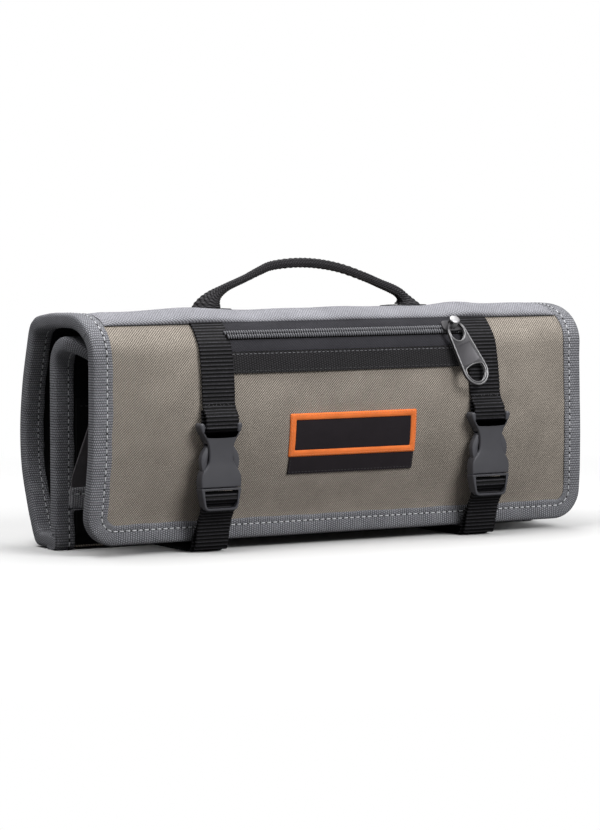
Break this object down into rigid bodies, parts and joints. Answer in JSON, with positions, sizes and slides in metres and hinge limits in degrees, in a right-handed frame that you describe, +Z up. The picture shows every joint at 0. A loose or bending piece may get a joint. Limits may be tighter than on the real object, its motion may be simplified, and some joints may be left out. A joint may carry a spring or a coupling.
{
  "type": "socket roll",
  "caption": "Padded roll-up tool bag closed by side release buckles, with a zip pocket on the flap, a folding inner leaf, a pocket row and a carrying handle.",
  "frame": {"origin": "middle of the whole part's box, at its base", "axes": "+X along the roll, -Y out of the flap, +Z up"},
  "size_m": [0.396, 0.1356, 0.1972],
  "materials": {
    "black_cloth": "matte",
    "black_web": "matte",
    "buckle_plastic": "satin",
    "charcoal_cloth": "matte",
    "foam": "matte",
    "grey_tape": "matte",
    "label_black": "matte",
    "label_orange": "matte",
    "taupe_cloth": "matte",
    "zip_black": "satin",
    "zip_metal": "satin"
  },
  "bodies": {
    "shell": {"handle_tab_left": "black_web", "handle_tab_right": "black_web", "shell_board": "foam", "shell_cloth": "taupe_cloth", "shell_edge_tape_left": "grey_tape", "shell_edge_tape_right": "grey_tape", "shell_lining": "black_cloth", "socket_pockets": "black_cloth", "top_edge_band": "grey_tape", "under_strap_left": "black_web", "under_strap_right": "black_web"},
    "flap": {"buckle_socket_left": "buckle_plastic", "buckle_socket_right": "buckle_plastic", "flap_board": "foam", "flap_cloth": "taupe_cloth", "flap_edge_tape": "grey_tape", "flap_lining": "black_cloth", "label_field": "label_black", "label_rim": "label_orange", "label_strip": "label_black", "upper_strap_left": "black_web", "upper_strap_right": "black_web", "zip_coil": "zip_black", "zip_facing": "black_cloth", "zip_pocket_bag": "black_cloth", "zip_tape_lower": "black_web", "zip_tape_upper": "black_web"},
    "leaf": {"leaf_board": "foam", "leaf_cloth": "black_cloth", "leaf_edge_tape_left": "grey_tape", "leaf_edge_tape_right": "grey_tape", "leaf_lining": "black_cloth", "leaf_pocket_sheet": "black_cloth"},
    "curl": {"cover_cloth": "charcoal_cloth", "cover_hem_tape": "grey_tape", "curl_board": "foam", "curl_cloth": "black_cloth", "curl_edge_tape_left": "grey_tape", "curl_edge_tape_right": "grey_tape", "curl_hem_tape": "grey_tape", "curl_lining": "black_cloth"},
    "slider": {"zip_slider": "zip_metal"},
    "pull": {"zip_pull": "zip_metal"},
    "handle": {"handle": "black_web"},
    "plug_left": {"buckle_plug_left": "buckle_plastic", "lower_strap_left": "black_web"},
    "prong_left_a": {"buckle_prong_left_a": "buckle_plastic"},
    "prong_left_b": {"buckle_prong_left_b": "buckle_plastic"},
    "plug_right": {"buckle_plug_right": "buckle_plastic", "lower_strap_right": "black_web"},
    "prong_right_a": {"buckle_prong_right_a": "buckle_plastic"},
    "prong_right_b": {"buckle_prong_right_b": "buckle_plastic"}
  },
  "joints": [
    {"name": "flap_open", "type": "hinge", "parent": "shell", "child": "flap", "pos_m": [0, -0.03585, 0.15771], "axis": [-1, 0, 0], "range_deg": [0, 150]},
    {"name": "leaf_unfold", "type": "hinge", "parent": "shell", "child": "leaf", "pos_m": [0, 0.01027, 0.0116], "axis": [1, 0, 0], "range_deg": [0, 38]},
    {"name": "curl_unfold", "type": "hinge", "parent": "leaf", "child": "curl", "pos_m": [0, -0.00213, 0.14782], "axis": [-1, 0, 0], "range_deg": [0, 91]},
    {"name": "zip_slide", "type": "slide", "parent": "flap", "child": "slider", "axis": [1, 0, 0], "range_m": [-0.171, 0]},
    {"name": "pull_swing", "type": "hinge", "parent": "slider", "child": "pull", "pos_m": [0.0855, -0.05112, 0.15273], "axis": [-0.9304, -0.2504, -0.2676], "range_deg": [0, 100]},
    {"name": "left_release", "type": "slide", "parent": "flap", "child": "plug_left", "axis": [0, 0, -1], "range_m": [0, 0.029]},
    {"name": "left_squeeze_a", "type": "hinge", "parent": "plug_left", "child": "prong_left_a", "pos_m": [-0.1204, -0.06227, 0.0426], "axis": [0, 1, 0], "range_deg": [0, 7], "stiffness_Nm_per_rad": 0.05},
    {"name": "left_squeeze_b", "type": "hinge", "parent": "plug_left", "child": "prong_left_b", "pos_m": [-0.0976, -0.06227, 0.0426], "axis": [0, -1, 0], "range_deg": [0, 7], "stiffness_Nm_per_rad": 0.05},
    {"name": "right_release", "type": "slide", "parent": "flap", "child": "plug_right", "axis": [0, 0, -1], "range_m": [0, 0.029]},
    {"name": "right_squeeze_a", "type": "hinge", "parent": "plug_right", "child": "prong_right_a", "pos_m": [0.0976, -0.06227, 0.0426], "axis": [0, 1, 0], "range_deg": [0, 7], "stiffness_Nm_per_rad": 0.05},
    {"name": "right_squeeze_b", "type": "hinge", "parent": "plug_right", "child": "prong_right_b", "pos_m": [0.1204, -0.06227, 0.0426], "axis": [0, -1, 0], "range_deg": [0, 7], "stiffness_Nm_per_rad": 0.05},
    {"name": "handle_swing", "type": "hinge", "parent": "shell", "child": "handle", "pos_m": [0, 0.01043, 0.16536], "axis": [1, 0, 0], "range_deg": [-60, 60]}
  ],
  "couplings": [
    {"joint": "leaf_unfold", "follows": "flap_open", "ratio": 0.25},
    {"joint": "curl_unfold", "follows": "flap_open", "ratio": 0.6},
    {"joint": "left_squeeze_b", "follows": "left_squeeze_a", "ratio": 1},
    {"joint": "right_squeeze_b", "follows": "right_squeeze_a", "ratio": 1}
  ]
}
